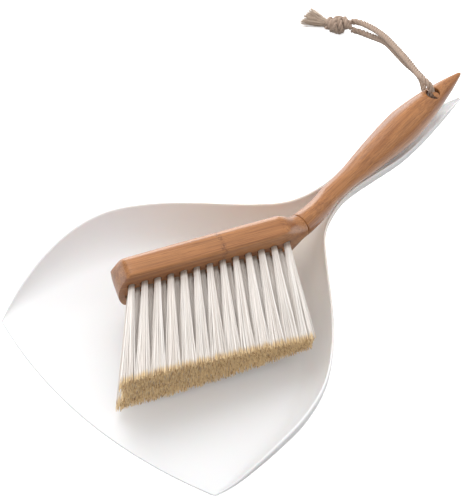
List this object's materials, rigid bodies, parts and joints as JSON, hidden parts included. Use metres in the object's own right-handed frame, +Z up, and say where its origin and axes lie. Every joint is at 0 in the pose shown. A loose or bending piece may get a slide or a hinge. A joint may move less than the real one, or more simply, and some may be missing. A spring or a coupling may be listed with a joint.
{
  "type": "dust pan and brush set",
  "caption": "Wide shallow dust pan with a channel handle and a long-bristled wooden hand brush lying in it, with a knotted rope loop through the brush handle",
  "frame": {"origin": "On the ground, at the middle of the tray's flat underside between its two front corners.", "axes": "+Y from the lip towards the pan's handle, +Z up, +X to the right seen from above with the handle away."},
  "size_m": [0.2555, 0.3656, 0.0686],
  "materials": {
    "pan_plastic": "fine satin off-white moulding",
    "bamboo": "oiled bamboo, smooth",
    "dowel_wood": "raw",
    "bristle": "white hair with tan flagged tips",
    "rope": "twisted jute, fuzzy"
  },
  "bodies": {
    "pan": {"dustpan_tray": "pan_plastic", "dustpan_grip": "pan_plastic"},
    "brush": {"brush_head": "bamboo", "brush_handle": "bamboo", "handle_dowel": "dowel_wood", "tuft_front_01": "bristle", "tuft_front_02": "bristle", "tuft_front_03": "bristle", "tuft_front_04": "bristle", "tuft_front_05": "bristle", "tuft_front_06": "bristle", "tuft_front_07": "bristle", "tuft_front_08": "bristle", "tuft_front_09": "bristle", "tuft_front_10": "bristle", "tuft_front_11": "bristle", "tuft_front_12": "bristle", "tuft_front_13": "bristle", "tuft_middle_01": "bristle", "tuft_middle_02": "bristle", "tuft_middle_03": "bristle", "tuft_middle_04": "bristle", "tuft_middle_05": "bristle", "tuft_middle_06": "bristle", "tuft_middle_07": "bristle", "tuft_middle_08": "bristle", "tuft_middle_09": "bristle", "tuft_middle_10": "bristle", "tuft_middle_11": "bristle", "tuft_middle_12": "bristle", "tuft_back_01": "bristle", "tuft_back_02": "bristle", "tuft_back_03": "bristle", "tuft_back_04": "bristle", "tuft_back_05": "bristle", "tuft_back_06": "bristle", "tuft_back_07": "bristle", "tuft_back_08": "bristle", "tuft_back_09": "bristle", "tuft_back_10": "bristle", "tuft_back_11": "bristle", "tuft_back_12": "bristle", "tuft_back_13": "bristle"},
    "hanging_cord": {"rope_strand_upper": "rope", "rope_strand_lower": "rope", "cord_knot": "rope", "cord_tassel": "rope"}
  },
  "joints": [
    {"name": "brush_lift", "type": "slide", "parent": "pan", "child": "brush", "axis": [0, 0, 1], "range_m": [0, 0.15]},
    {"name": "cord_swing", "type": "hinge", "parent": "brush", "child": "hanging_cord", "pos_m": [-0.00054, 0.29621, 0.05459], "axis": [0, 0, 1], "range_deg": [-20, 20]}
  ]
}
